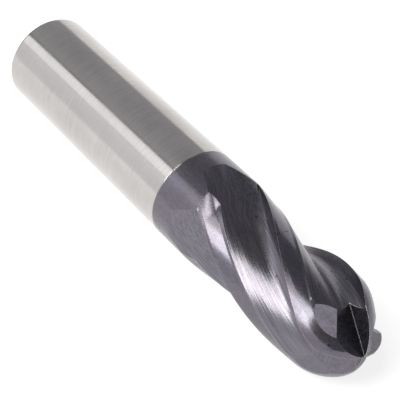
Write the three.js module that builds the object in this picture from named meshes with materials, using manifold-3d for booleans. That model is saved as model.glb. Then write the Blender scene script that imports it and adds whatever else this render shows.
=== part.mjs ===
// Ball-nose end mill, four flutes, right-hand helix, right-hand cut.
// Units are millimetres. The tool axis lies along +X, from the shank end (x = 0) to the tip.
// +Z is up. An angle about the axis is measured from +Z, right-handed about +X.
import * as THREE from "three";
import { mergeVertices } from "three/addons/utils/BufferGeometryUtils.js";
import Module from "manifold-3d";

const wasm = await Module();
wasm.setup();

// Main sizes of the tool.
const SHANK_DIAMETER = 19.05;
const OVERALL_LENGTH = 101.6;
const HEAD_START = 52.9;
const TEETH = 4;
const HELIX_ANGLE = 30;
const RADIUS = SHANK_DIAMETER / 2;
const BALL_CENTRE = OVERALL_LENGTH - RADIUS;
const HELIX_LEAD = (Math.PI * SHANK_DIAMETER) / Math.tan(THREE.MathUtils.degToRad(HELIX_ANGLE));
const PITCH_ANGLE = 360 / TEETH;

// Angle of the first cutting edge where the ball begins.
const FIRST_EDGE = 52.7;

// Shank: the bevel round its back rim.
const REAR_BEVEL = 0.8;

// Brazed joint between head and shank: a round spigot in a blind socket.
const SPIGOT_DIAMETER = 9.5;
const SPIGOT_LENGTH = 12;
const BRAZE_FILM = 0.15;

// Land behind each cutting edge: widths in mm and relief angles in degrees.
const CYLINDER_MARGIN = 0.75;
const BALL_MARGIN = 2.0;
const LAND_WIDTH = 3.6;
const MARGIN_RELIEF = 7;
const LAND_RELIEF = 14;
const HEEL_RELIEF = 16;
const RELIEF_START = 61.5;
const RELIEF_FULL = 65;

// Flutes: how far round they open, where they run out, and how far the run-out slopes.
const FLUTE_OPENING = 73;
const FLUTE_START = 57;
const RUN_OUT_LENGTH = 18;
const RUN_OUT_SLANT = 5.5;

// Gashes that carry the cutting edges over the nose to the centre.
const GASH_LEAD = 15.5;
const GASH_FLOOR_WIDTH = 0.25;
const WEB_HALF_WIDTH = 0.25;
const LONG_GASH = { floor: 100.73, slope: 44.4, opening: 87 };
const SHORT_GASH = { floor: 101.45, slope: 40, opening: 89 };

// Flat ground on the heel of each tooth at the nose: the angle between its normal and the tool
// axis, how far that normal stands behind the cutting edge, and its distance from the ball centre.
const HEEL_FLAT = { lean: 61.6, behind: 51.4, distance: 7.05 };

const AROUND = 64;
const COLUMN_ANGLE = 360 / AROUND;

const rad = THREE.MathUtils.degToRad;

// Angle of the first tooth's cutting edge at axial position x.
function edgeAngle(x) {
  return FIRST_EDGE + ((x - BALL_CENTRE) * 360) / HELIX_LEAD;
}

// Whole columns that the helix has turned by at the back of the head.
const START_TURN = Math.ceil(edgeAngle(HEAD_START) / COLUMN_ANGLE) * COLUMN_ANGLE;

// Point at axial position x, radius r and angle in degrees.
function polarPoint(x, r, angle) {
  return new THREE.Vector3(x, -r * Math.sin(rad(angle)), r * Math.cos(rad(angle)));
}

// Closed manifold solid from a geometry.
function toSolid(geometry) {
  const plain = new THREE.BufferGeometry();
  plain.setAttribute("position", geometry.getAttribute("position").clone());
  if (geometry.index) {
    plain.setIndex(geometry.index.clone());
  }
  const merged = mergeVertices(plain, 1e-5);
  const source = merged.index.array;
  const triangles = [];
  for (let i = 0; i < source.length; i += 3) {
    const [a, b, c] = [source[i], source[i + 1], source[i + 2]];
    if (a !== b && b !== c && c !== a) {
      triangles.push(a, b, c);
    }
  }
  const mesh = new wasm.Mesh({
    numProp: 3,
    vertProperties: new Float32Array(merged.getAttribute("position").array),
    triVerts: new Uint32Array(triangles),
  });
  return new wasm.Manifold(mesh);
}

// Flat-shaded geometry of a solid.
function toGeometry(solid) {
  const mesh = solid.getMesh();
  const geometry = new THREE.BufferGeometry();
  geometry.setAttribute("position", new THREE.BufferAttribute(new Float32Array(mesh.vertProperties), 3));
  geometry.setIndex(new THREE.BufferAttribute(new Uint32Array(mesh.triVerts), 1));
  const flat = geometry.toNonIndexed();
  flat.computeVertexNormals();
  return flat;
}

// Solid of revolution about the tool axis from [x, radius] pairs.
function turned(profile) {
  const points = profile.map(([x, r]) => new THREE.Vector2(r, x));
  const geometry = new THREE.LatheGeometry(points, AROUND);
  geometry.rotateZ(-Math.PI / 2);
  return geometry;
}

// Piecewise-linear value at t through [t, value] stops.
function ramp(t, stops) {
  let value = stops[0][1];
  for (let i = 1; i < stops.length; i += 1) {
    const [t0, v0] = stops[i - 1];
    const [t1, v1] = stops[i];
    if (t >= t0) {
      value = v0 + ((v1 - v0) * Math.min(t - t0, t1 - t0)) / (t1 - t0);
    }
  }
  return value;
}

// How far the land has dropped below the cutting edge, at a distance behind the edge.
function landDrop(distance, margin, x) {
  const drop = ramp(distance, [
    [0, 0],
    [margin, margin * Math.tan(rad(MARGIN_RELIEF))],
    [LAND_WIDTH, margin * Math.tan(rad(MARGIN_RELIEF)) + (LAND_WIDTH - margin) * Math.tan(rad(LAND_RELIEF))],
  ]);
  const behind = Math.max(0, distance - LAND_WIDTH) * Math.tan(rad(HEEL_RELIEF));
  const onBall = ramp(x, [[BALL_CENTRE - 1, 0], [BALL_CENTRE, 1]]);
  return drop + behind * onBall;
}

// Moves one point of the turned head blank onto the relieved land surfaces.
// Columns of points follow the cutting edge, the margin and the back of the land.
function relieve(point) {
  const r = Math.hypot(point.y, point.z);
  if (point.x < HEAD_START + 0.1 || r < 1e-6) {
    return point;
  }
  const angle = THREE.MathUtils.radToDeg(Math.atan2(-point.y, point.z)) + 360 - START_TURN;
  const tooth = Math.floor(angle / PITCH_ANGLE + 1e-4);
  const behind = PITCH_ANGLE - (angle - tooth * PITCH_ANGLE);
  const onBall = ramp(point.x, [[BALL_CENTRE - 8, 0], [BALL_CENTRE, 1]]);
  const margin = CYLINDER_MARGIN + (BALL_MARGIN - CYLINDER_MARGIN) * onBall;
  const perMm = 180 / (Math.PI * r);
  const offset = ramp(behind, [
    [0, 0],
    [11.25, Math.min(margin * perMm, 24)],
    [22.5, Math.min(LAND_WIDTH * perMm, 42)],
    [50.625, 54],
    [61.875, 66],
    [90, 90],
  ]);
  const fade = ramp(point.x, [[RELIEF_START, 0], [RELIEF_FULL, 1]]);
  const back = ramp(offset, [[54, 1], [66, 0]]);
  const drop = landDrop(Math.min(offset, 54) / perMm, margin, point.x) * fade * back;
  const turn = edgeAngle(point.x) + (tooth + 1) * PITCH_ANGLE - offset;
  const toCentre = Math.max(0, point.x - BALL_CENTRE);
  const scale = 1 - drop / Math.hypot(r, toCentre);
  return polarPoint(point.x - toCentre * (1 - scale), r * scale, turn);
}

// Head before fluting: spigot, cylinder and ball, with the lands already relieved.
function headBlank() {
  const spigot = SPIGOT_DIAMETER / 2;
  const profile = [
    [HEAD_START - SPIGOT_LENGTH, 0],
    [HEAD_START - SPIGOT_LENGTH, spigot - 0.5],
    [HEAD_START - SPIGOT_LENGTH + 0.5, spigot],
    [HEAD_START, spigot],
    [HEAD_START, RADIUS],
  ];
  const plainRows = 4;
  for (let i = 1; i <= plainRows; i += 1) {
    profile.push([HEAD_START + ((RELIEF_START - HEAD_START) * i) / plainRows, RADIUS]);
  }
  profile.push([(RELIEF_START + RELIEF_FULL) / 2, RADIUS]);
  profile.push([RELIEF_FULL, RADIUS]);
  const straightRows = 10;
  for (let i = 1; i <= straightRows; i += 1) {
    profile.push([RELIEF_FULL + ((BALL_CENTRE - RELIEF_FULL) * i) / straightRows, RADIUS]);
  }
  const ballRows = 10;
  for (let i = 1; i < ballRows; i += 1) {
    const a = (Math.PI / 2) * (i / ballRows);
    profile.push([BALL_CENTRE + RADIUS * Math.sin(a), RADIUS * Math.cos(a)]);
  }
  profile.push([OVERALL_LENGTH, 0]);
  const geometry = turned(profile);
  const position = geometry.getAttribute("position");
  const point = new THREE.Vector3();
  for (let i = 0; i < position.count; i += 1) {
    point.fromBufferAttribute(position, i);
    const moved = relieve(point);
    position.setXYZ(i, moved.x, moved.y, moved.z);
  }
  return toSolid(geometry);
}

// Cross-section of one flute as [angle ahead of the cutting edge, radius / tool radius].
// It runs from outside, down the rake face, over the core and up the back to the heel.
function fluteSection() {
  return [
    [1.6, 1.16],
    [-1.5, 0.88],
    [-1.6, 0.78],
    [2, 0.69],
    [10, 0.625],
    [20, 0.605],
    [28, 0.625],
    [38, 0.69],
    [48, 0.77],
    [58, 0.855],
    [FLUTE_OPENING + 3, 1.03],
    [52, 1.2],
    [26, 1.22],
  ];
}

// Depth of the flute at axial position u, as a fraction of full depth.
function fluteDepth(u) {
  const left = Math.max(0, FLUTE_START + RUN_OUT_LENGTH - u) / RUN_OUT_LENGTH;
  return 1 - left * left;
}

// The space one flute takes out of the blank: its section swept along the helix.
function fluteSpace(tooth) {
  const start = FLUTE_START - 0.6;
  const end = OVERALL_LENGTH + 2;
  const outline = fluteSection().map(
    ([a, r]) => new THREE.Vector2(RADIUS * r * Math.cos(rad(a)), RADIUS * r * Math.sin(rad(a))),
  );
  const geometry = new THREE.ExtrudeGeometry(new THREE.Shape(outline), {
    depth: end - start,
    steps: 32,
    bevelEnabled: false,
  });
  const position = geometry.getAttribute("position");
  for (let i = 0; i < position.count; i += 1) {
    const a = THREE.MathUtils.radToDeg(Math.atan2(position.getY(i), position.getX(i)));
    const r = Math.hypot(position.getX(i), position.getY(i));
    const u = start + position.getZ(i);
    const slant = RUN_OUT_SLANT * ramp(a, [[2, 1], [45, 0]]);
    const x = u + slant * ramp(u, [[FLUTE_START, 1], [FLUTE_START + RUN_OUT_LENGTH, 0]]);
    const depth = fluteDepth(u);
    const radius = r < RADIUS ? RADIUS + (r - RADIUS) * depth : r;
    const point = polarPoint(x, radius, edgeAngle(x) + a + tooth * PITCH_ANGLE);
    position.setXYZ(i, point.x, point.y, point.z);
  }
  return toSolid(geometry);
}

// The space one gash takes out of the nose. One wall is the rake face of its tooth.
// Long teeth meet at the centre, and their gashes cut the short teeth back from it.
function gashSpace(tooth) {
  const gash = tooth % 2 === 0 ? LONG_GASH : SHORT_GASH;
  const angle = FIRST_EDGE + GASH_LEAD + tooth * PITCH_ANGLE;
  const outward = polarPoint(0, 1, angle);
  const ahead = polarPoint(0, 1, angle + 90);
  const along = outward.multiplyScalar(Math.sin(rad(gash.slope)));
  along.x = -Math.cos(rad(gash.slope));
  const up = new THREE.Vector3().crossVectors(along, ahead);
  const reach = 12;
  const wall = new THREE.Vector2(Math.sin(rad(gash.opening)), Math.cos(rad(gash.opening)));
  const outline = [
    new THREE.Vector2(0, 0),
    new THREE.Vector2(GASH_FLOOR_WIDTH, 0),
    new THREE.Vector2(GASH_FLOOR_WIDTH + reach * wall.x, reach * wall.y),
    new THREE.Vector2(GASH_FLOOR_WIDTH + reach * wall.x, reach),
    new THREE.Vector2(0, reach),
  ];
  const geometry = new THREE.ExtrudeGeometry(new THREE.Shape(outline), {
    depth: 13,
    steps: 1,
    bevelEnabled: false,
  });
  const place = new THREE.Matrix4().makeBasis(ahead, up, along);
  place.setPosition(new THREE.Vector3(gash.floor, 0, 0).addScaledVector(ahead, WEB_HALF_WIDTH));
  geometry.applyMatrix4(place);
  return toSolid(geometry);
}

// The space outside the heel flat of one tooth, as a slab that ends inside the gash behind it.
function heelFlatSpace(tooth) {
  const [width, length, depth] = [9, 16, 5];
  const lean = rad(HEEL_FLAT.lean);
  const angle = FIRST_EDGE - HEEL_FLAT.behind + tooth * PITCH_ANGLE;
  const side = polarPoint(0, 1, angle + 90);
  const normal = polarPoint(0, 1, angle).multiplyScalar(Math.sin(lean));
  normal.x = Math.cos(lean);
  const along = new THREE.Vector3().crossVectors(normal, side);
  const geometry = new THREE.BoxGeometry(width, length, depth);
  const centre = new THREE.Vector3(BALL_CENTRE, 0, 0)
    .addScaledVector(normal, HEEL_FLAT.distance + depth / 2)
    .addScaledVector(side, width / 2);
  geometry.applyMatrix4(new THREE.Matrix4().makeBasis(side, along, normal).setPosition(centre));
  return toSolid(geometry);
}

// Coated cutting head.
function cuttingHead() {
  let head = headBlank();
  for (let tooth = 0; tooth < TEETH; tooth += 1) {
    head = head.subtract(fluteSpace(tooth));
    head = head.subtract(heelFlatSpace(tooth));
  }
  for (let tooth = 0; tooth < TEETH; tooth += 1) {
    head = head.subtract(gashSpace(tooth));
  }
  return toGeometry(head);
}

// Plain ground shank with a bevelled back rim and a blind socket in its front face.
function shank() {
  const socket = SPIGOT_DIAMETER / 2 + BRAZE_FILM;
  const front = HEAD_START - BRAZE_FILM;
  const socketEnd = HEAD_START - SPIGOT_LENGTH - BRAZE_FILM;
  const profile = [
    [0, 0],
    [0, RADIUS - REAR_BEVEL],
    [REAR_BEVEL * 0.3, RADIUS - REAR_BEVEL * 0.35],
    [REAR_BEVEL, RADIUS],
    [front, RADIUS],
    [front, socket],
    [socketEnd, socket],
    [socketEnd, 0],
  ];
  return toGeometry(toSolid(turned(profile)));
}

// Thin film of brazing metal between the shank's socket and the head's spigot.
function brazeJoint() {
  const inner = SPIGOT_DIAMETER / 2;
  const outer = inner + BRAZE_FILM;
  const back = HEAD_START - SPIGOT_LENGTH;
  const profile = [
    [back - BRAZE_FILM, 0],
    [back - BRAZE_FILM, outer],
    [HEAD_START - BRAZE_FILM, outer],
    [HEAD_START - BRAZE_FILM, RADIUS - 0.03],
    [HEAD_START, RADIUS - 0.03],
    [HEAD_START, inner],
    [back + 0.5, inner],
    [back, inner - 0.5],
    [back, 0],
  ];
  return toGeometry(toSolid(turned(profile)));
}

function groundSteel() {
  return new THREE.MeshStandardMaterial({ color: 0xc9c8c4, roughness: 0.28, metalness: 1 });
}

function darkCoating() {
  return new THREE.MeshStandardMaterial({ color: 0x5d5868, roughness: 0.3, metalness: 0.9 });
}

function brazeMetal() {
  return new THREE.MeshStandardMaterial({ color: 0xc2b280, roughness: 0.4, metalness: 1 });
}

function piece(name, geometry, material) {
  const mesh = new THREE.Mesh(geometry, material);
  mesh.name = name;
  return mesh;
}

const tool = new THREE.Group();
tool.name = "ball_end_mill";
tool.add(piece("shank", shank(), groundSteel()));
tool.add(piece("braze_joint", brazeJoint(), brazeMetal()));
tool.add(piece("cutting_head", cuttingHead(), darkCoating()));

export default tool;
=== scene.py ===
import math

import bmesh
import bpy
import numpy as np
from mathutils import Matrix, Vector


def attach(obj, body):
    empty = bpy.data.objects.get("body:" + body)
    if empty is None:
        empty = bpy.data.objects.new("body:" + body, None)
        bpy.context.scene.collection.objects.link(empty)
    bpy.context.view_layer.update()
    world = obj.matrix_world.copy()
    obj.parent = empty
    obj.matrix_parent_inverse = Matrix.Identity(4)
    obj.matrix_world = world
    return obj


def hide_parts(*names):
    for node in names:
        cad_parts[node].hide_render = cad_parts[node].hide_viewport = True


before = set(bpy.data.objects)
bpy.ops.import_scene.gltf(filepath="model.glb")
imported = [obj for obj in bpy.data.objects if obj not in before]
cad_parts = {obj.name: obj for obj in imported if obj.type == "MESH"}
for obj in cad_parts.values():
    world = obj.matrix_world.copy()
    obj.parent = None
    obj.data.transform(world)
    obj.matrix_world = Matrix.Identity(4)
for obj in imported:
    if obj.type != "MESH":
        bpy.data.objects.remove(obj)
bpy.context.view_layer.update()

# Ball-nose end mill lying on a white table. Shapes are worked out in millimetres in the row frame:
# the tool axis is +X from the shank end to the tip, +Z is up, and an angle about the axis is
# measured from +Z, right-handed about +X.
MM = 0.001
RADIUS = 9.525
LENGTH = 101.6
HEAD_START = 52.9
BALL_CENTRE = LENGTH - RADIUS
TEETH = 4
PITCH = 360 / TEETH
HELIX_LEAD = 2 * math.pi * RADIUS / math.tan(math.radians(30))
FIRST_EDGE = 52.7

# Shank and brazed joint.
REAR_BEVEL = 0.8
SPIGOT_RADIUS = 4.75
SPIGOT_LENGTH = 12.0
BRAZE_FILM = 0.15

# Land behind each cutting edge.
CYLINDER_MARGIN = 0.75
BALL_MARGIN = 2.0
LAND_WIDTH = 3.6
MARGIN_RELIEF = math.tan(math.radians(7))
LAND_RELIEF = math.tan(math.radians(14))
HEEL_RELIEF = math.tan(math.radians(16))
RELIEF_START = 61.5
RELIEF_FULL = 65.0

# Flutes.
FLUTE_START = 57.0
RUN_OUT_LENGTH = 18.0
RUN_OUT_SLANT = 5.5

# Gashes over the nose: where the floor meets the tool axis, its slope and the opening angle.
GASH_LEAD = 15.5
WEB_HALF_WIDTH = 0.25
GASH_FLOOR = 0.25
GASH_BEND = 0.12
LONG_GASH = (100.73, 44.4, 87)
SHORT_GASH = (101.45, 40, 89)

# Flat on the heel of each tooth at the nose: lean of its normal from the tool axis, how far the
# normal stands behind the cutting edge, and its distance from the ball centre.
HEEL_FLAT = (61.6, 51.4, 7.05)

# Material slots of the head's faces, by how they were ground.
LAND, FLUTE, LONG_CUT, SHORT_CUT = range(4)

# Angles in degrees above which an edge of the head is drawn sharp.
CREASE_BETWEEN_GROUNDS = 0.4
CREASE_IN_LAND = 4.2
CREASE_ELSEWHERE = 18.0


def edge_angle(x):
    return FIRST_EDGE + (x - BALL_CENTRE) * 360 / HELIX_LEAD


def ramp(t, stops):
    return np.interp(t, [s[0] for s in stops], [s[1] for s in stops])


def polar(x, r, angle):
    a = np.radians(angle)
    return np.stack(np.broadcast_arrays(x, -r * np.sin(a), r * np.cos(a)), axis=-1)


def spline(points, steps):
    """Smooth line through points, as rows of coordinates, with a number of steps for each span."""
    p = np.array(points, float)
    q = np.vstack([2 * p[0] - p[1], p, 2 * p[-1] - p[-2]])
    out = []
    for i in range(1, len(q) - 2):
        t = np.linspace(0, 1, steps, endpoint=False)[:, None]
        a, b, c, d = q[i - 1], q[i], q[i + 1], q[i + 2]
        out.append(
            0.5 * (2 * b + (c - a) * t + (2 * a - 5 * b + 4 * c - d) * t**2
                   + (3 * b - a - 3 * c + d) * t**3)
        )
    out.append(p[-1:])
    return np.vstack(out)


def mesh_object(name, points, faces, slots=(), slot=0):
    mesh = bpy.data.meshes.new(name)
    mesh.from_pydata((np.array(points) * MM).tolist(), [], faces)
    mesh.update()
    made = bpy.data.objects.new(name, mesh)
    bpy.context.scene.collection.objects.link(made)
    for material in slots:
        mesh.materials.append(material)
    mesh.polygons.foreach_set("material_index", [slot] * len(mesh.polygons))
    return made


def closed_grid(rows, first_cap, last_cap):
    """Points and faces of a closed skin from rings of equal length, capped by faces or points."""
    count = len(rows[0])
    points = np.vstack(rows).tolist()
    faces = []
    for i in range(len(rows) - 1):
        for j in range(count):
            k = (j + 1) % count
            faces.append((i * count + j, i * count + k, (i + 1) * count + k, (i + 1) * count + j))
    last = (len(rows) - 1) * count
    if first_cap is None:
        faces.append(tuple(range(count - 1, -1, -1)))
    else:
        points.append(list(first_cap))
        centre = len(points) - 1
        faces += [((j + 1) % count, j, centre) for j in range(count)]
    if last_cap is None:
        faces.append(tuple(range(last, last + count)))
    else:
        points.append(list(last_cap))
        centre = len(points) - 1
        faces += [(last + j, last + (j + 1) % count, centre) for j in range(count)]
    return points, faces


# Cutting head -------------------------------------------------------------------------------

def land_drop(distance, margin, x):
    near = np.minimum(distance, margin) * MARGIN_RELIEF
    mid = np.clip(distance - margin, 0, LAND_WIDTH - margin) * LAND_RELIEF
    on_ball = ramp(x, [(BALL_CENTRE - 1, 0), (BALL_CENTRE, 1)])
    return near + mid + np.maximum(0, distance - LAND_WIDTH) * HEEL_RELIEF * on_ball


def land_columns():
    """Stations behind a cutting edge, from 0 to 90, spaced closely over the lands."""
    parts = [
        np.linspace(0, 11.25, 6, endpoint=False),
        np.linspace(11.25, 22.5, 10, endpoint=False),
        np.linspace(22.5, 50.625, 16, endpoint=False),
        np.linspace(50.625, 61.875, 6, endpoint=False),
        np.linspace(61.875, 90, 12, endpoint=False),
    ]
    return np.concatenate(parts)


def blank_ring(x, r, relieved):
    station = land_columns()
    if relieved:
        on_ball = ramp(x, [(BALL_CENTRE - 8, 0), (BALL_CENTRE, 1)])
        margin = CYLINDER_MARGIN + (BALL_MARGIN - CYLINDER_MARGIN) * on_ball
        per_mm = 180 / (math.pi * r)
        offset = ramp(station, [
            (0, 0),
            (11.25, min(margin * per_mm, 24)),
            (22.5, min(LAND_WIDTH * per_mm, 42)),
            (50.625, 54),
            (61.875, 66),
            (90, 90),
        ])
        fade = ramp(x, [(RELIEF_START, 0), (RELIEF_FULL, 1)])
        back = ramp(offset, [(54, 1), (66, 0)])
        drop = land_drop(np.minimum(offset, 54) / per_mm, margin, x) * fade * back
    else:
        offset = station
        drop = np.zeros_like(station)
    to_centre = max(0, x - BALL_CENTRE)
    scale = 1 - drop / math.hypot(r, to_centre)
    rings = []
    for tooth in range(TEETH - 1, -1, -1):
        turn = edge_angle(x) + (tooth + 1) * PITCH - offset
        rings.append(polar(x - to_centre * (1 - scale), r * scale, turn))
    return np.vstack(rings)


def head_blank(slots):
    back = HEAD_START - SPIGOT_LENGTH
    rows = [
        blank_ring(back, SPIGOT_RADIUS - 0.5, False),
        blank_ring(back + 0.25, SPIGOT_RADIUS - 0.12, False),
        blank_ring(back + 0.5, SPIGOT_RADIUS, False),
    ]
    rows += [blank_ring(x, SPIGOT_RADIUS, False) for x in np.linspace(back + 1, HEAD_START, 26)]
    rows.append(blank_ring(HEAD_START, RADIUS - 0.05, False))
    rows += [blank_ring(x, RADIUS, False) for x in np.linspace(HEAD_START + 0.05, HEAD_START + 0.6, 3)]
    rows += [blank_ring(x, RADIUS, True) for x in np.linspace(HEAD_START + 2, BALL_CENTRE, 96)]
    for a in np.linspace(0, math.pi / 2, 44)[1:-1]:
        rows.append(blank_ring(BALL_CENTRE + RADIUS * math.sin(a), RADIUS * math.cos(a), True))
    rows = [ring[::-1] for ring in rows]
    points, faces = closed_grid(rows, (back, 0, 0), (LENGTH, 0, 0))
    return mesh_object("head_blank", points, faces, slots, LAND)


def flute_section():
    """Angle ahead of the cutting edge and share of the tool radius, round one flute."""
    rake = [(1.6, 1.16), (0.6, 1.07), (-0.5, 0.97), (-1.5, 0.88)]
    trough = spline([
        (-1.5, 0.88), (-1.6, 0.78), (2, 0.69), (10, 0.625), (20, 0.605), (28, 0.625),
        (38, 0.69), (48, 0.77), (58, 0.855), (76, 1.03),
    ], 5)
    outside = [(52, 1.2), (26, 1.22)]
    return np.vstack([rake[:-1], trough, outside])


def flute_space(tooth, slots):
    section = flute_section()
    angle, share = section[:, 0], section[:, 1]
    rows = []
    for u in np.linspace(FLUTE_START - 0.6, LENGTH + 2, 150):
        left = max(0, FLUTE_START + RUN_OUT_LENGTH - u) / RUN_OUT_LENGTH
        depth = 1 - left * left
        slant = RUN_OUT_SLANT * ramp(angle, [(2, 1), (45, 0)])
        x = u + slant * ramp(u, [(FLUTE_START, 1), (FLUTE_START + RUN_OUT_LENGTH, 0)])
        r = np.where(share < 1, RADIUS * (1 + (share - 1) * depth), RADIUS * share)
        rows.append(polar(x, r, edge_angle(x) + angle + tooth * PITCH))
    points, faces = closed_grid(rows, None, None)
    return mesh_object(f"flute_space_{tooth}", points, faces, slots, FLUTE)


def gash_space(tooth, slots):
    floor, slope, opening = LONG_GASH if tooth % 2 == 0 else SHORT_GASH
    angle = FIRST_EDGE + GASH_LEAD + tooth * PITCH
    outward = polar(0.0, 1.0, angle)
    ahead = polar(0.0, 1.0, angle + 90)
    s, o = math.radians(slope), math.radians(opening)
    along = outward * math.sin(s) + np.array([-math.cos(s), 0, 0])
    up = np.cross(along, ahead)
    reach = 12.0
    outline = [(0, reach), (0, GASH_BEND)]
    for t in np.linspace(0, 1, 7)[1:-1]:
        turn = t * (math.pi / 2)
        outline.append((GASH_BEND * (1 - math.cos(turn)), GASH_BEND * (1 - math.sin(turn))))
    outline += [(GASH_BEND, 0), (GASH_FLOOR, 0)]
    outline.append((GASH_FLOOR + reach * math.sin(o), reach * math.cos(o)))
    outline.append((GASH_FLOOR + reach * math.sin(o), reach))
    origin = np.array([floor, 0, 0]) + ahead * WEB_HALF_WIDTH
    rows = [
        np.array([origin + a * ahead + b * up + d * along for a, b in outline])
        for d in np.linspace(0, 13, 14)
    ]
    points, faces = closed_grid(rows, None, None)
    slot = LONG_CUT if tooth % 2 == 0 else SHORT_CUT
    return mesh_object(f"gash_space_{tooth}", points, faces, slots, slot)


def heel_flat_space(tooth, slots):
    """Slab over one heel flat. It ends inside the gash behind the tooth."""
    lean, behind, distance = HEEL_FLAT
    angle = FIRST_EDGE - behind + tooth * PITCH
    side = polar(0.0, 1.0, angle + 90)
    normal = polar(0.0, 1.0, angle) * math.sin(math.radians(lean))
    normal[0] = math.cos(math.radians(lean))
    along = np.cross(normal, side)
    origin = np.array([BALL_CENTRE, 0, 0]) + normal * distance
    outline = [(0, -8), (9, -8), (9, 8), (0, 8)]
    rows = [
        np.array([origin + a * side + b * along + d * normal for a, b in outline])
        for d in (0.0, 5.0)
    ]
    points, faces = closed_grid(rows, None, None)
    return mesh_object(f"heel_flat_space_{tooth}", points, faces, slots, LAND)


def cut(target, tool):
    """Takes the tool's volume out of the target and deletes the tool."""
    modifier = target.modifiers.new("cut", "BOOLEAN")
    modifier.operation = "DIFFERENCE"
    modifier.solver = "MANIFOLD"
    modifier.object = tool
    bpy.context.view_layer.update()
    graph = bpy.context.evaluated_depsgraph_get()
    result = bpy.data.meshes.new_from_object(target.evaluated_get(graph))
    target.modifiers.clear()
    old = target.data
    target.data = result
    bpy.data.meshes.remove(old)
    used = tool.data
    bpy.data.objects.remove(tool)
    bpy.data.meshes.remove(used)


def outward_faces(target):
    work = bmesh.new()
    work.from_mesh(target.data)
    bmesh.ops.recalc_face_normals(work, faces=work.faces)
    work.to_mesh(target.data)
    work.free()


def smooth(target, degrees):
    target.data.polygons.foreach_set("use_smooth", [True] * len(target.data.polygons))
    target.data.set_sharp_from_angle(angle=math.radians(degrees))
    target.data.update()


def crease_ground_edges(head):
    """Sharp where two ground surfaces meet, and along the faint borders within a land."""
    work = bmesh.new()
    work.from_mesh(head.data)
    for edge in work.edges:
        if len(edge.link_faces) != 2:
            continue
        one, two = (face.material_index for face in edge.link_faces)
        if one != two:
            limit = CREASE_BETWEEN_GROUNDS
        elif one == LAND and min(v.co.x for v in edge.verts) > (RELIEF_FULL + 2) * MM:
            limit = CREASE_IN_LAND
        else:
            limit = CREASE_ELSEWHERE
        edge.smooth = edge.calc_face_angle(0.0) < math.radians(limit)
    work.to_mesh(head.data)
    work.free()
    head.data.update()


def cutting_head(slots):
    head = head_blank(slots)
    outward_faces(head)
    for make in (flute_space, heel_flat_space, gash_space):
        for tooth in range(TEETH):
            tool = make(tooth, slots)
            outward_faces(tool)
            cut(head, tool)
    head.name = head.data.name = "cutting_head_ground"
    head.data.polygons.foreach_set("use_smooth", [True] * len(head.data.polygons))
    crease_ground_edges(head)
    return head


# Shank and brazed joint ---------------------------------------------------------------------

def lathe(name, profile, count, material, sharp):
    rows = [polar(x, r, np.arange(count) * 360.0 / count) for x, r in profile if r > 0]
    first = (profile[0][0], 0, 0)
    last = (profile[-1][0], 0, 0)
    points, faces = closed_grid(rows, first, last)
    made = mesh_object(name, points, faces, [material])
    outward_faces(made)
    smooth(made, sharp)
    return made


def shank(material):
    profile = [(0.0, 0.0)]
    profile += [(0.0, r) for r in (1.0, 3.0, 6.0, 8.2)]
    for a in np.linspace(0, 90, 9):
        turn = math.radians(a)
        profile.append((REAR_BEVEL * (1 - math.cos(turn)), RADIUS - REAR_BEVEL * (1 - math.sin(turn))))
    front = HEAD_START - BRAZE_FILM
    profile += [(x, RADIUS) for x in np.linspace(2, front - 0.06, 30)]
    profile += [(front, RADIUS - 0.06), (front, SPIGOT_RADIUS + BRAZE_FILM)]
    bottom = HEAD_START - SPIGOT_LENGTH - BRAZE_FILM
    profile += [(bottom, SPIGOT_RADIUS + BRAZE_FILM), (bottom, 0.0)]
    return lathe("shank_ground", profile, 192, material, 25)


def braze_joint(material):
    back = HEAD_START - SPIGOT_LENGTH
    outer = SPIGOT_RADIUS + BRAZE_FILM
    front = HEAD_START - BRAZE_FILM
    profile = [(back - BRAZE_FILM, 0.0), (back - BRAZE_FILM, outer - 0.1), (back, outer)]
    profile += [(front, outer), (front, RADIUS - 0.08)]
    for a in np.linspace(0, math.pi, 7):
        profile.append((front + BRAZE_FILM * (1 - math.cos(a)) / 2,
                        RADIUS - 0.08 + 0.05 * math.sin(a)))
    profile += [(HEAD_START, RADIUS - 0.08), (HEAD_START, SPIGOT_RADIUS), (back + 0.5, SPIGOT_RADIUS)]
    profile += [(back, SPIGOT_RADIUS - 0.5), (back, 0.0)]
    return lathe("braze_line", profile, 192, material, 30)


# Materials ----------------------------------------------------------------------------------

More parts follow.
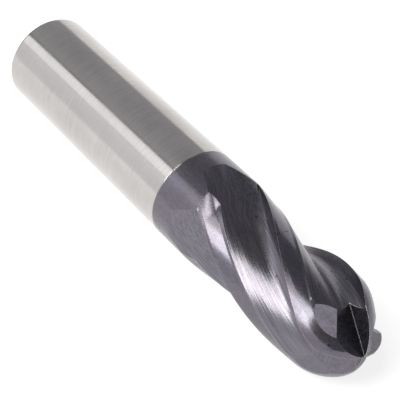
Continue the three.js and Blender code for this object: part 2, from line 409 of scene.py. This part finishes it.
class Nodes:
    """Short ways to add and join the nodes of one material."""

    def __init__(self, name):
        self.material = bpy.data.materials.new(name)
        self.material.use_nodes = True
        self.tree = self.material.node_tree
        self.shader = self.tree.nodes["Principled BSDF"]

    def add(self, kind, **values):
        node = self.tree.nodes.new("ShaderNode" + kind)
        for key, value in values.items():
            setattr(node, key, value)
        return node

    def link(self, source, target):
        self.tree.links.new(source, target)

    def put(self, node, socket, value):
        if isinstance(value, bpy.types.NodeSocket):
            self.link(value, node.inputs[socket])
        else:
            node.inputs[socket].default_value = value

    def math(self, operation, a, b=0.0, clamp=False):
        node = self.add("Math", operation=operation, use_clamp=clamp)
        self.put(node, 0, a)
        self.put(node, 1, b)
        return node.outputs[0]

    def position(self):
        return self.add("TexCoord").outputs["Object"]

    def scaled(self, vector, scale):
        node = self.add("Mapping")
        self.put(node, "Vector", vector)
        node.inputs["Scale"].default_value = scale
        return node.outputs[0]

    def untwisted(self):
        """Position turned back along the helix, so that a flute runs straight."""
        place = self.position()
        split = self.add("SeparateXYZ")
        self.link(place, split.inputs[0])
        turn = self.math("MULTIPLY", split.outputs["X"], -2 * math.pi / (HELIX_LEAD * MM))
        rotate = self.add("VectorRotate", rotation_type="X_AXIS")
        self.link(place, rotate.inputs["Vector"])
        self.link(turn, rotate.inputs["Angle"])
        return rotate.outputs[0]

    def noise(self, vector, scale, detail=3.0, rough=0.5, distortion=0.0):
        node = self.add("TexNoise")
        self.put(node, "Vector", vector)
        node.inputs["Scale"].default_value = scale
        node.inputs["Detail"].default_value = detail
        node.inputs["Roughness"].default_value = rough
        node.inputs["Distortion"].default_value = distortion
        return node.outputs["Fac"]

    def spread(self, value, low, high, to_low=0.0, to_high=1.0):
        node = self.add("MapRange")
        self.put(node, "Value", value)
        node.inputs["From Min"].default_value = low
        node.inputs["From Max"].default_value = high
        node.inputs["To Min"].default_value = to_low
        node.inputs["To Max"].default_value = to_high
        return node.outputs[0]

    def blend(self, factor, a, b, mode="MIX"):
        node = self.add("Mix", data_type="RGBA", blend_type=mode)
        self.put(node, 0, factor)
        for socket, value in ((6, a), (7, b)):
            self.put(node, socket, value if isinstance(value, bpy.types.NodeSocket) else (*value, 1))
        return node.outputs[2]

    def bump(self, height, strength, distance, normal=None):
        node = self.add("Bump")
        self.put(node, "Height", height)
        node.inputs["Strength"].default_value = strength
        node.inputs["Distance"].default_value = distance
        if normal is not None:
            self.link(normal, node.inputs["Normal"])
        return node.outputs[0]

    def edge_wear_and_glint(self, radius):
        """Rounded normal at sharp edges, and a mask that is 1 right on them, for the bright edge
        colour: partly rubbed coating and partly a painted highlight.
        """
        soft = self.add("Bevel", samples=6)
        soft.inputs["Radius"].default_value = radius
        flat = self.add("NewGeometry")
        dot = self.add("VectorMath", operation="DOT_PRODUCT")
        self.link(soft.outputs[0], dot.inputs[0])
        self.link(flat.outputs["Normal"], dot.inputs[1])
        mask = self.spread(dot.outputs["Value"], 0.995, 0.9)
        return soft.outputs[0], mask

    def mark(self, place, centre, towards, half_width):
        """Mask of a thin line on the surface, from one point to another, in mm."""
        start, end = Vector(centre) * MM, Vector(towards) * MM
        axis = end - start
        offset = self.add("VectorMath", operation="SUBTRACT")
        self.link(place, offset.inputs[0])
        offset.inputs[1].default_value = start
        along = self.add("VectorMath", operation="DOT_PRODUCT")
        self.link(offset.outputs[0], along.inputs[0])
        along.inputs[1].default_value = axis / axis.length_squared
        share = self.math("ADD", along.outputs["Value"], 0.0, True)
        foot = self.add("VectorMath", operation="SCALE")
        foot.inputs[0].default_value = axis
        self.link(share, foot.inputs["Scale"])
        gap = self.add("VectorMath", operation="DISTANCE")
        self.link(offset.outputs[0], gap.inputs[0])
        self.link(foot.outputs[0], gap.inputs[1])
        return self.spread(gap.outputs["Value"], half_width * MM, half_width * MM * 0.4)

    def finish(self, colour, rough, normal, metallic):
        self.put(self.shader, "Base Color", colour)
        self.put(self.shader, "Roughness", rough)
        self.link(normal, self.shader.inputs["Normal"])
        self.shader.inputs["Metallic"].default_value = metallic
        return self.material


def ground_steel():
    n = Nodes("ground_steel_finish")
    place = n.position()
    rings = n.noise(n.scaled(place, (3200, 150, 150)), 1.0, 3.0, 0.7)
    wide_rings = n.noise(n.scaled(place, (900, 12, 12)), 1.0, 2.0, 0.5)
    clouds = n.noise(n.scaled(place, (55, 130, 130)), 1.0, 3.0, 0.55)
    scuffs = n.noise(n.scaled(place, (160, 2600, 2600)), 1.0, 1.0, 0.4)
    scuff_mask = n.spread(scuffs, 0.70, 0.74)
    patch = n.blend(n.spread(clouds, 0.35, 0.68), (0.585, 0.556, 0.550), (0.505, 0.484, 0.480))
    lined = n.blend(n.spread(rings, 0.35, 0.65, 0.0, 0.45), patch, (0.425, 0.408, 0.402))
    colour = n.blend(n.math("MULTIPLY", scuff_mask, 0.25), lined, (0.42, 0.41, 0.39))
    cloud_rough = n.spread(clouds, 0.3, 0.7, 0.13, 0.20)
    ring_rough = n.spread(rings, 0.3, 0.7, 0.0, 0.05)
    rough = n.math("ADD", cloud_rough, ring_rough)
    soft, wear_and_glint_mask = n.edge_wear_and_glint(0.00012)
    # Bright edge colour on the shank's edges, partly rubbed steel and partly a painted highlight.
    colour = n.blend(n.math("MULTIPLY", wear_and_glint_mask, 0.4), colour, (0.82, 0.81, 0.79))
    normal = n.bump(wide_rings, 0.08, 0.00003, soft)
    normal = n.bump(rings, 0.16, 0.000012, normal)
    n.shader.inputs["Anisotropic"].default_value = 0.55
    n.shader.inputs["Anisotropic Rotation"].default_value = 0.25
    tangent = n.add("Tangent", direction_type="RADIAL", axis="X")
    n.link(tangent.outputs[0], n.shader.inputs["Tangent"])
    return n.finish(colour, rough, normal, 1.0)


def braze_metal():
    n = Nodes("braze_finish")
    place = n.position()
    grain = n.noise(n.scaled(place, (2500, 900, 900)), 1.0, 3.0, 0.6)
    tarnish = n.noise(place, 260.0, 2.0, 0.5)
    colour = n.blend(n.spread(grain, 0.3, 0.7), (0.24, 0.235, 0.22), (0.19, 0.182, 0.165))
    colour = n.blend(n.spread(tarnish, 0.5, 0.7, 0.0, 0.5), colour, (0.15, 0.14, 0.125))
    rough = n.spread(grain, 0.3, 0.7, 0.26, 0.4)
    normal = n.bump(grain, 0.2, 0.00002)
    return n.finish(colour, rough, normal, 1.0)


def scaled_colour(colour, factor):
    return [c * factor for c in colour]


def coated(name, lines, line_depth, line_contrast, rough, helical=False, light=1.0,
           edge=0.00009, wear_and_glint_strength=0.55, marks=()):
    """Violet-grey hard coating over a ground surface.

    lines is the noise scale of the grinding lines, which follow the helix when helical is true.
    light scales the whole colour, and below 1 it is painted shade, as on the short gash. edge and wear
    are the width and strength of the bright edges, partly rubbed coating and partly a painted
    highlight, and marks are dark lines as (start, end, half width in mm, strength).
    """
    n = Nodes(name)
    place = n.position()
    ground = n.untwisted() if helical else place
    fine = n.noise(n.scaled(ground, lines), 1.0, 3.0, 0.65)
    broad = n.noise(n.scaled(ground, tuple(s / 4 for s in lines)), 1.0, 2.0, 0.5)
    tint = n.noise(place, 160.0, 3.0, 0.5, 0.4)
    dust = n.noise(place, 2100.0, 1.0, 0.5)
    # Below 1, the light factor darkens all these colours as painted shade; the short gash uses 0.5.
    base = scaled_colour((0.156, 0.1435, 0.177), light)
    brown = scaled_colour((0.166, 0.1435, 0.168), light)
    blue = scaled_colour((0.142, 0.138, 0.174), light)
    bright_line = scaled_colour((0.29, 0.29, 0.315), light)
    dark_line = scaled_colour(base, 0.4)
    colour = n.blend(n.spread(tint, 0.5, 0.75), base, brown)
    colour = n.blend(n.spread(tint, 0.5, 0.25), colour, blue)
    colour = n.blend(n.spread(fine, 0.4, 0.7, 0.0, line_contrast), colour, bright_line)
    colour = n.blend(n.spread(fine, 0.5, 0.25, 0.0, line_contrast), colour, dark_line)
    pits = n.add("TexVoronoi", feature="F1")
    n.link(place, pits.inputs["Vector"])
    pits.inputs["Scale"].default_value = 230.0
    pit_mask = n.spread(pits.outputs["Distance"], 0.075, 0.05)
    colour = n.blend(n.math("MULTIPLY", pit_mask, 0.6), colour, (0.03, 0.026, 0.036))
    for start, end, half_width, strength in marks:
        line = n.mark(place, start, end, half_width)
        colour = n.blend(n.math("MULTIPLY", line, strength), colour, (0.03, 0.025, 0.03))
    soft, wear_and_glint_mask = n.edge_wear_and_glint(edge)
    # Bright edge colour along the sharp edges, partly rubbed coating and partly a painted highlight.
    colour = n.blend(n.math("MULTIPLY", wear_and_glint_mask, wear_and_glint_strength), colour, (0.66, 0.65, 0.67))
    line_rough = n.spread(broad, 0.3, 0.7, *rough)
    dust_rough = n.spread(dust, 0.4, 0.8, 0.0, 0.06)
    normal = n.bump(broad, line_depth, 0.00004, soft)
    normal = n.bump(fine, line_depth, 0.000026, normal)
    return n.finish(colour, n.math("ADD", line_rough, dust_rough), normal, 0.95)


# Table, light and camera --------------------------------------------------------------------

def table():
    n = Nodes("white_table")
    place = n.position()
    mottle = n.noise(place, 9.0, 2.0, 0.5)
    colour = n.blend(n.spread(mottle, 0.3, 0.7), (0.36, 0.36, 0.36), (0.33, 0.33, 0.335))
    n.shader.inputs["Metallic"].default_value = 0.0
    n.shader.inputs["Specular IOR Level"].default_value = 0.2
    n.put(n.shader, "Base Color", colour)
    n.shader.inputs["Roughness"].default_value = 0.7
    n.shader.inputs["Emission Color"].default_value = (1, 1, 1, 1)
    n.shader.inputs["Emission Strength"].default_value = 0.78
    size = 3000.0
    z = -RADIUS - 0.02
    made = mesh_object(
        "table_top",
        [(-size, -size, z), (size, -size, z), (size, size, z), (-size, size, z)],
        [(0, 1, 2, 3)],
        [n.material],
    )


def panel(name, low, high, near, far, distance, radiance, tint=(1, 1, 1)):
    """Light panel beside the tool, running along it from near to far in metres.

    Seen from the tool axis it spans the angles low to high, from +Z towards -Y, and radiance is its
    brightness against a white table of 1.
    """
    middle = math.radians((low + high) / 2)
    half = math.radians((high - low) / 2)
    data = bpy.data.lights.new(name, "AREA")
    data.shape = "RECTANGLE"
    data.size, data.size_y = far - near, 2 * distance * math.tan(half)
    data.energy = radiance * data.size * data.size_y * math.pi
    data.color = tint
    lamp = bpy.data.objects.new(name, data)
    bpy.context.scene.collection.objects.link(lamp)
    outward = Vector((0, -math.sin(middle), math.cos(middle)))
    along = Vector((1, 0, 0))
    across = outward.cross(along)
    centre = outward * distance + along * (near + far) / 2
    lamp.matrix_world = Matrix((
        (along.x, across.x, outward.x, centre.x),
        (along.y, across.y, outward.y, centre.y),
        (along.z, across.z, outward.z, centre.z),
        (0, 0, 0, 1),
    ))
    lamp.visible_camera = False


def studio():
    world = bpy.data.worlds.new("studio_surround")
    bpy.context.scene.world = world
    world.use_nodes = True
    world.node_tree.nodes["Background"].inputs[0].default_value = (0.95, 0.96, 1.0, 1)
    world.node_tree.nodes["Background"].inputs[1].default_value = 0.19
    panel("wall_left", 49, 90, -2.6, 2.2, 1.3, 0.80)
    panel("strip_left", 25, 48, -2.6, -0.55, 1.25, 1.15)
    panel("lamp_left", 27, 54, -0.45, 0.33, 1.2, 6.8, (1.0, 1.0, 0.93))
    panel("lamp_left_upper", 8, 26, -0.34, 0.28, 1.2, 5.4, (1.0, 1.0, 0.93))
    panel("ceiling_back", -62, 20, -2.6, -0.95, 1.4, 0.22)
    panel("light_front", -36, -20, 0.40, 0.80, 1.2, 1.5)
    panel("wall_right", -92, -66, -2.6, -0.35, 1.3, 0.85, (1.0, 0.99, 0.95))


def camera():
    data = bpy.data.cameras.new("camera")
    made = bpy.data.objects.new("camera", data)
    bpy.context.scene.collection.objects.link(made)
    forward = Vector((-0.59381581, 0.42822623, -0.68117919)).normalized()
    up = Vector((-0.55250064, 0.39843208, 0.73211674))
    right = forward.cross(up).normalized()
    up = right.cross(forward)
    place = Vector((0.19585531, -0.10178842, 0.16196592))
    made.matrix_world = Matrix((
        (right.x, up.x, -forward.x, place.x),
        (right.y, up.y, -forward.y, place.y),
        (right.z, up.z, -forward.z, place.z),
        (0, 0, 0, 1),
    ))
    data.sensor_width = 36
    data.lens = 114.339
    data.clip_start, data.clip_end = 0.01, 20
    bpy.context.scene.camera = made


camera()
studio()
table()
bpy.context.scene.view_settings.view_transform = "Standard"

steel = ground_steel()
head = cutting_head([
    coated(
        "coated_land_finish", (900, 2600, 2600), 0.03, 0.14, (0.20, 0.26),
        marks=[
            (polar(77.5, 8.95, -14.5), polar(77.7, 9.5, 1.5), 0.15, 0.9),
            (polar(57.3, 9.52, 4.8), polar(59.2, 9.48, 12.8), 0.11, 0.7),
        ],
    ),
    coated("coated_flute_finish", (100, 3600, 3600), 0.9, 0.42, (0.22, 0.31), helical=True),
    coated("coated_long_gash_finish", (2600, 2600, 600), 0.15, 0.25, (0.22, 0.30)),
    # Short gash: its colour halved as painted shade of the recess, with wider, stronger bright edges
    # that are partly rubbed coating and partly a painted highlight.
    coated(
        "coated_short_gash_finish_with_painted_shade", (2600, 2600, 600), 0.22, 0.5, (0.22, 0.32),
        light=0.5, edge=0.0002, wear_and_glint_strength=1.0,
    ),
])
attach(head, "root")
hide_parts("cutting_head")

shank_piece = shank(steel)
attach(shank_piece, "root")
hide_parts("shank")

braze = braze_joint(braze_metal())
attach(braze, "root")
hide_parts("braze_joint")
